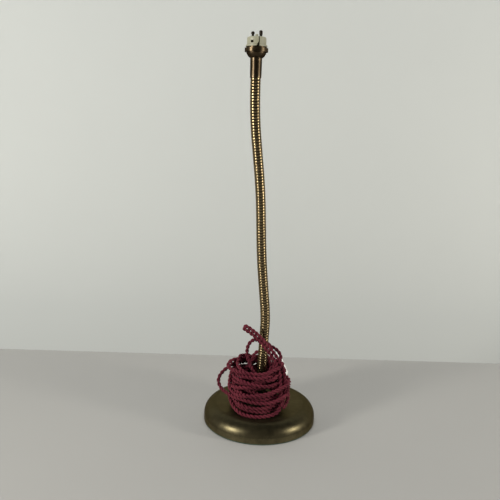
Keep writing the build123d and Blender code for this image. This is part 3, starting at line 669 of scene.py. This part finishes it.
def hank_place(angle_deg, z, inset):
    """A place in the hank: an angle from the right through the back, and how far inside its skin."""
    share = (z - hank_low[2]) / (hank_high[2] - hank_low[2])
    half_width = np.interp(share, HANK_SHARES, HANK_HALF_WIDTHS) - inset
    half_depth = np.interp(share, HANK_SHARES, HANK_HALF_DEPTHS) - inset
    forward = np.interp(share, HANK_SHARES, HANK_FORWARD)
    angle = radians(angle_deg)
    return HANK_X + half_width * cos(angle), half_depth * sin(angle) - forward, z


TURN_STEP = 24  # degrees between places in a wound turn


def wind(start_deg, end_deg, z_start, z_end, inset_start, inset_end, tilt=4.5, wander=2.2):
    """Winds the flex round the neck, each turn tilted and a little loose in its own way."""
    steps = int((end_deg - start_deg) / TURN_STEP)
    turns = (end_deg - start_deg) / 360
    leans = rng.uniform(-1, 1, (int(turns) + 3, 4))
    for i in range(steps + 1):
        share = i / steps
        angle = start_deg + (end_deg - start_deg) * share
        turn = share * turns
        lean = leans[int(turn)] * (1 - turn % 1) + leans[int(turn) + 1] * (turn % 1)
        a = radians(angle)
        rise = tilt * (lean[0] * sin(a) + lean[1] * cos(a)) + 0.4 * tilt * lean[2] * sin(2 * a)
        stray = wander * lean[3] * sin(2 * a + 9 * lean[2])
        z = max(LYING_Z, z_start + (z_end - z_start) * share + rise)
        inset = inset_start + (inset_end - inset_start) * share + stray
        go(LOOSE, hank_place(angle, z, inset))


def lead_flex():
    """The whole run of the flex, from the foot of the tube to the plug."""
    go(FIRM, (0, 0, TUBE_FOOT_Z), (0, 2, 6.0), (0, 9, 5.4), (0, 22, ENTRY_Z))
    go(FIRM, (0, 45, ENTRY_Z), (0, 66, ENTRY_Z), (0, BASE_R + 6, ENTRY_Z))
    go(FIRM, (-0.5, BASE_R + 12, 11), (-1, BASE_R + 12, 19), (-3, BASE_R + 5, 25.5))
    go(HELD, (-8, BASE_R - 6, LYING_Z + 1), (-14, BASE_R - 20, LYING_Z), (-24, 28, LYING_Z))
    # two turns lying on the base, then up the outside
    wind(150, 860, LYING_Z, LYING_Z + 1, 12, 8, tilt=0.6, wander=1.5)
    wind(884, 884 + 360 * 7 - 30, 34, 72, 3.0, 1.0, tilt=7, wander=2.5)
    # over the top left, round the front of the opening
    go(HELD, (-8, 20, 80), (-22, 12, 82), (-34, 4, 82), (-41, 0, 80.5), (-43.5, -5, 76), (-37, -14, 74))
    go(HELD, (-25, -24, 74.5), (-11, -30, 75.5), (3, -32, 76.5), (15, -27, 79), (25, -15, 80))
    go(LOOSE, (29, 2, 78), (20, 18, 77), (4, 25, 78))
    # the wide loop on the left, which falls to the front
    go(HELD, (-14, 22, 79), (-28, 12, 78), (-39, 4, 74), (-49, 0, 67.5), (-55, -3, 60), (-56, -6, 53))
    go(HELD, (-52, -11, 46.5), (-45, -20, 45), (-36, -31, 45))
    go(LOOSE, (-20, -44, 46), (0, -51, 45), (18, -48, 46), (32, -33, 50), (38, -12, 53))
    go(LOOSE, (34, 12, 58), (18, 25, 64), (0, 29, 71))
    # across the rim and down inside the wide loop
    go(HELD, (-14, 23, 79), (-27, 10, 84), (-31, -1, 79), (-25, -17, 75))
    go(LOOSE, (-8, -31, 71), (12, -32, 70), (28, -17, 71), (32, 4, 70), (18, 24, 69), (-8, 28, 71))
    go(HELD, (-29, 15, 73), (-38, -3, 68), (-41, -12, 57), (-38, -24, 50))
    go(LOOSE, (-26, -40, 50), (-6, -49, 54), (14, -47, 58), (31, -30, 60), (37, -8, 57))
    go(LOOSE, (31, 15, 51), (8, 27, 44), (-18, 24, 37), (-34, 6, 32))
    # the lowest strand lies on the base in front, then climbs on the right into the doubled end
    go(HELD, (-40, -20, 40), (-34, -36, 32), (-22, -48, LYING_Z), (-5, -54, LYING_Z))
    go(HELD, (11, -51, LYING_Z + 0.5), (22, -46, 31), (28, -40, 39), (32, -32, 50), (32, -25, 61))
    go(HELD, (30.5, -17, 72), (27, -15, 81), (23.2, -14.5, 90))
    go(FIRM, (18.3, -14.5, 97.2), (12.3, -14.5, 104.5), (6.2, -14.5, 111.9), (0.5, -14.5, 118.3))
    go(FIRM, (-4.7, -14.5, 123.6), (-10.2, -14.5, 128.2), (-15.3, -14.5, 132), (-19.4, -14.6, 134.8))
    go(FIRM, (-22.5, -14.8, 135.4), (-23.7, -15, 133.3), (-22.3, -15, 131.1), (-18.2, -15, 128.6))
    go(FIRM, (-13.2, -15, 125), (-7.8, -15, 120.6), (-2.7, -15, 115.3), (2.7, -15, 108.9))
    go(FIRM, (8.9, -15, 101.3), (14.9, -15.4, 94))
    go(HELD, (20, -17, 85.5), (23.6, -20, 77), (25.3, -26, 66.5))
    go(HELD, (26, -34, 56), (26.5, -41, 47), (28, -42, 38.5), (32, -35, 34), (36, -25, 37.5))
    go(HELD, (37.5, -18, 43.6), (33, -8, 49))
    go(LOOSE, (28, 10, 54), (14, 22, 58), (-5, 24, 60))
    # inside the hank, then the small arch behind the neck
    wind(125, 125 + 360 * 3, 42, 60, 12, 13, tilt=8, wander=2.5)
    wind(149, 149 + 336 + 360, 63, 75, 4, 9, tilt=5, wander=2)
    go(HELD, (-13, 12, 75), (-11, 14, 80.7), (-8.6, 14.5, 86))
    go(HELD, (-4.5, 15, 89.3), (1.5, 15.5, 89), (8, 15, 84))
    go(LOOSE, (13, 10, 77), (14, -2, 72), (7, -14, 68.5), (-4, -16, 68.5))
    # the big arch: up on the left, behind the neck, down on the right
    go(HELD, (-10.5, -11, 73), (-14, -8, 79), (-17.6, -5.5, 88), (-18.9, -4.5, 96), (-18.2, -4, 103))
    go(HELD, (-15.2, -3, 109), (-10, 1, 111.2), (-5, 6, 109), (2, 11.5, 103.4), (10.5, 13, 99))
    go(HELD, (17, 12.5, 97), (22.8, 12, 92.6), (26.6, 11, 87), (27, 9, 81), (24.6, 8, 75))
    go(LOOSE, (17, 14, 69), (4, 20, 66), (-10, 17, 65), (-21, 4, 64), (-17, -12, 63), (-3, -21, 63))
    go(LOOSE, (12, -17, 64), (20, -4, 66), (18, 10, 69), (9, 19, 73))
    # up behind the neck, over and down into the top of the plug
    go(HELD, (2, 21.5, 79), (-1, 24, 86), (2, 29, 91.5), (7.5, 38.5, 92.5))
    go(FIRM, (12.4, 46, 88.5), (PLUG_X - 0.1, PLUG_Y, PLUG_TOP + 1), (PLUG_X, PLUG_Y, PLUG_TOP - 20))


FLEX_STEP = 2.4
APART = 4.6  # the cores of neighbouring strands nest a little
NEAR = 8.0
SKIP = 5  # points this close along the flex don't push each other
ROUNDS = 240
PAIRS_EVERY = 6  # rounds between searches for near pairs
PUSH, LONGEST_PUSH = 0.35, 1.2
EASING = 0.9
HOMING = 0.35
CLEARANCE = 0.15


def near_pairs(line):
    """Pairs of points of the flex that are close but not neighbours along it."""
    gaps = np.linalg.norm(line[:, None, :] - line[None, :, :], axis=2)
    first, second = np.nonzero(gaps < NEAR)
    keep = second > first + SKIP
    return first[keep], second[keep]


plug_low, plug_high = box_mm("plug_cover")
ferrule_high = box_mm("foot_ferrule")[1]
FOOT_FERRULE_R, FOOT_FERRULE_TOP = ferrule_high[0], ferrule_high[2]
FLAT_R = BASE_R - 14  # where the top of the base starts to round over


def keep_clear(line):
    """Moves points out of the base, the neck and the plug."""
    on_base = np.hypot(line[:, 0], line[:, 1]) < FLAT_R
    low = on_base & (line[:, 2] < LYING_Z)
    line[low, 2] = LYING_Z
    centre = np.interp(line[:, 2], neck_line[:, 2], neck_line[:, 0])
    away = np.column_stack((line[:, 0] - centre, line[:, 1]))
    gap = np.linalg.norm(away, axis=1)
    wanted = np.where(line[:, 2] < FOOT_FERRULE_TOP, FOOT_FERRULE_R, CREST_R) + FLEX_R + CLEARANCE
    inside = gap < wanted
    line[inside, :2] += away[inside] * ((wanted - gap) / np.maximum(gap, 0.1))[inside, None]
    behind = (line[:, 1] > plug_low[1] - FLEX_R) & (line[:, 2] < plug_high[2] + FLEX_R)
    behind &= (line[:, 0] > plug_low[0] - FLEX_R) & (line[:, 0] < plug_high[0] + FLEX_R)
    line[behind, 1] = plug_low[1] - FLEX_R


def relax(line, holds, rounds):
    """Lets the flex settle: even spacing, gentle bends, strands apart, held places kept."""
    home = line.copy()
    step = lengths_along(line)[-1] / (len(line) - 1)
    loose = holds < FIRM
    for number in range(rounds):
        if number % PAIRS_EVERY == 0:
            first, second = near_pairs(line)
        gap = line[second] - line[first]
        distance = np.maximum(np.linalg.norm(gap, axis=1), 0.05)
        push = np.clip(APART - distance, 0, None)[:, None] * gap / distance[:, None] * PUSH
        shift = np.zeros_like(line)
        np.add.at(shift, first, -push)
        np.add.at(shift, second, push)
        size = np.linalg.norm(shift, axis=1, keepdims=True)
        shift *= np.minimum(1, LONGEST_PUSH / np.maximum(size, 1e-9))
        smooth = np.zeros_like(line)
        smooth[2:-2] = (
            -line[:-4] + 4 * line[1:-3] - 6 * line[2:-2] + 4 * line[3:-1] - line[4:]
        ) / 16
        line[loose] += (shift + EASING * smooth)[loose]
        for start in (0, 1):
            a, b = line[start:-1:2], line[start + 1 :: 2]
            count = min(len(a), len(b))
            along = b[:count] - a[:count]
            long = np.linalg.norm(along, axis=1, keepdims=True)
            fix = 0.5 * (long - step) / np.maximum(long, 1e-6) * along
            fix_a = fix * loose[start:-1:2][:count, None]
            fix_b = fix * loose[start + 1 :: 2][:count, None]
            line[start:-1:2][:count] += fix_a
            line[start + 1 :: 2][:count] -= fix_b
        line += (home - line) * np.where(loose, holds * HOMING, 1.0)[:, None]
        cleared = line.copy()
        keep_clear(cleared)
        line[loose] = cleared[loose]
    return line


ORDER_WEIGHT = 300  # keeps a control point from matching another turn of the flex
FIRM_FROM = 0.6


def build_flex():
    """Leads, settles and twists the flex outside the neck."""
    lead_flex()
    controls = np.array(flex_points, float)
    line = smooth_curve(controls, FLEX_STEP)
    control_lengths = lengths_along(controls)
    share = control_lengths / control_lengths[-1]
    line_share = lengths_along(line)
    line_share /= line_share[-1]
    nearest = [
        np.argmin(np.linalg.norm(line - c, axis=1) + ORDER_WEIGHT * np.abs(line_share - s))
        for c, s in zip(controls, share)
    ]
    holds = np.interp(np.arange(len(line)), nearest, flex_holds)
    holds[holds > FIRM_FROM] = FIRM
    line = relax(line, holds, ROUNDS)
    # rounded between the settled points, then finely divided for the two cores
    fine = smooth_curve(line, RING_STEP)
    piece = twisted_flex("mains_flex", fine)
    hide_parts("flex_hank", "flex_to_base", "flex_to_plug")
    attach(piece, "base")


build_flex()

# ---------------------------------------------------------------- springs


def build_spring(side):
    """A plunger's spring in spring wire, carried by the head. Nothing here shortens it as the plunger is
    pressed.
    """
    node = f"plunger_spring_{side}"
    piece = bpy.data.objects.new(f"contact_spring_{side}", frame["nodes"][node].data.copy())
    bpy.context.scene.collection.objects.link(piece)
    piece.data.materials.clear()
    piece.data.materials.append(spring_wire)
    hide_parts(node)
    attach(piece, "head")
    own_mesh(piece)


for side in ("left", "right"):
    build_spring(side)

# ---------------------------------------------------------------- carried CAD nodes

FINISHES = {
    base_brass: ("base_cover",),
    # The terminal blocks and screws take the dark cap brass rather than bright brass, as painted shade
    # in the moulding's window.
    cap_brass: ("foot_ferrule", "top_ferrule", "lampholder_cap", "terminal_blocks", "terminal_screws"),
    black_brass: ("plunger_left", "plunger_right"),
    pin_brass: ("plug_earth_pin", "plug_line_pin", "plug_neutral_pin"),
    zinc: (
        "stem_tube",
        "stem_nut",
        "stem_washer",
        "cap_nipple",
        "cap_nut",
        "foot_grub_screw",
        "cord_clamp",
        "cord_clamp_screws",
        "plug_terminal_screws",
        "plug_cord_grip_screws",
        "plug_cover_screw",
    ),
    ivory: ("terminal_moulding",),
    white_plastic: ("plug_base", "plug_cover"),
    felt: ("felt_pad",),
    iron: ("base_weight",),
    rubber: ("cable_bush",),
    ceramic: ("plug_fuse",),
    fibre: ("plug_cord_grip",),
}

for material, names in FINISHES.items():
    for name in names:
        node = frame["nodes"][name]
        node.data.materials.clear()
        node.data.materials.append(material)

# ---------------------------------------------------------------- floor, lights and camera


def stage_material(name, colour):
    """Matt, slightly uneven paint that the camera sees through from the back."""
    material, tree, shader = new_material(name)
    worn = tuple(0.95 * c for c in colour)
    tree.links.new(mix_colour(tree, noise(tree, 3, 3), colour, worn), shader.inputs["Base Color"])
    shader.inputs["Roughness"].default_value = 0.75
    behind = add_node(tree, "ShaderNodeNewGeometry").outputs["Backfacing"]
    seen = add_node(tree, "ShaderNodeLightPath").outputs["Is Camera Ray"]
    clear = add_node(tree, "ShaderNodeBsdfTransparent").outputs["BSDF"]
    surface = add_node(
        tree,
        "ShaderNodeMixShader",
        {0: math_node(tree, "MULTIPLY", behind, seen), 1: shader.outputs["BSDF"], 2: clear},
    )
    tree.links.new(surface.outputs["Shader"], tree.nodes["Material Output"].inputs["Surface"])
    return material


def backdrop(name, profile, colour):
    """A wide sheet with a profile of depth and height. It casts no shadow on what is behind it."""
    half_width = 3000.0
    points = [(x, y, z) for x in (-half_width, half_width) for y, z in profile]
    count = len(profile)
    faces = [(i, count + i, count + i + 1, i + 1) for i in range(count - 1)]
    mesh = bpy.data.meshes.new(name)
    mesh.from_pydata((np.array(points) * MM).tolist(), [], faces)
    mesh.materials.append(stage_material(f"{name}_paint", colour))
    sheet = bpy.data.objects.new(name, mesh)
    sheet.visible_shadow = False
    bpy.context.scene.collection.objects.link(sheet)


def build_stage():
    """A table top, and a wall far enough behind its edge for the neck to bend back."""
    table_front, table_edge, wall_y = -2600.0, 224.0, 480.0
    backdrop("table_top", [(table_front, 0.0), (table_edge, 0.0)], (0.34, 0.335, 0.32))
    backdrop("wall", [(wall_y, -600.0), (wall_y, 2600.0)], (0.47, 0.49, 0.48))


def area_light(name, place, target, size, power, colour=(1, 1, 1), mirrored=True):
    """A soft rectangular light. One that isn't mirrored lights things without showing in them."""
    light = bpy.data.lights.new(name, "AREA")
    light.shape = "RECTANGLE"
    light.size, light.size_y = size
    light.energy = power
    light.color = colour
    lamp = bpy.data.objects.new(name, light)
    lamp.visible_glossy = mirrored
    bpy.context.scene.collection.objects.link(lamp)
    place, target = np.array(place, float), np.array(target, float)
    back = unit(place - target)
    side = unit(np.cross((0.0, 0.0, 1.0), back)) if abs(back[2]) < 0.99 else np.array((1.0, 0.0, 0.0))
    up = np.cross(back, side)
    rows = [[*row, place[k]] for k, row in enumerate(np.column_stack((side, up, back)))]
    lamp.matrix_world = Matrix(rows + [[0, 0, 0, 1]])


def room_light():
    """Even light from all round, which shiny things mirror only faintly."""
    world = bpy.data.worlds.new("room")
    bpy.context.scene.world = world
    world.use_nodes = True
    tree = world.node_tree
    background = tree.nodes["Background"]
    background.inputs["Color"].default_value = (0.93, 0.96, 0.95, 1)
    mirrored = add_node(tree, "ShaderNodeLightPath").outputs["Is Glossy Ray"]
    tree.links.new(remap(tree, mirrored, 0, 1, 0.15, 0.04), background.inputs["Strength"])


def build_lights():
    """Two low windows that show in the brass, soft light from above, and a little from all round."""
    area_light("left_window", (-1.24, -0.84, 0.42), (0, 0, 0.25), (0.24, 0.42), 24, (1.0, 0.97, 0.9))
    area_light("right_window", (1.4, -0.51, 0.33), (0, 0, 0.25), (0.22, 0.4), 16, (1.0, 0.95, 0.86))
    area_light("overhead", (0.0, -0.1, 2.2), (0, 0, 0), (1.1, 0.9), 20, mirrored=False)
    area_light("wall_wash", (0.0, -0.6, 2.2), (0, 0.62, 0.5), (1.6, 0.8), 5.5, mirrored=False)
    room_light()


CAMERA_PLACE = (-0.019, -0.7623, 0.3894)
CAMERA_DOWN_DEG = 11.51
CAMERA_ROLL_DEG = 1.71
CAMERA_LENS = 43.2


def build_camera():
    """The photograph's view: in front, a little above, looking slightly down."""
    data = bpy.data.cameras.new("camera")
    data.sensor_width = 36.0
    data.lens = CAMERA_LENS
    data.clip_start = 0.02
    camera = bpy.data.objects.new("camera", data)
    bpy.context.scene.collection.objects.link(camera)
    pitch, roll = radians(90 - CAMERA_DOWN_DEG), radians(CAMERA_ROLL_DEG)
    place = Matrix.Translation(CAMERA_PLACE)
    camera.matrix_world = place @ Matrix.Rotation(pitch, 4, "X") @ Matrix.Rotation(roll, 4, "Z")
    bpy.context.scene.camera = camera


build_stage()
build_lights()
build_camera()
bpy.context.scene.view_settings.view_transform = "Standard"
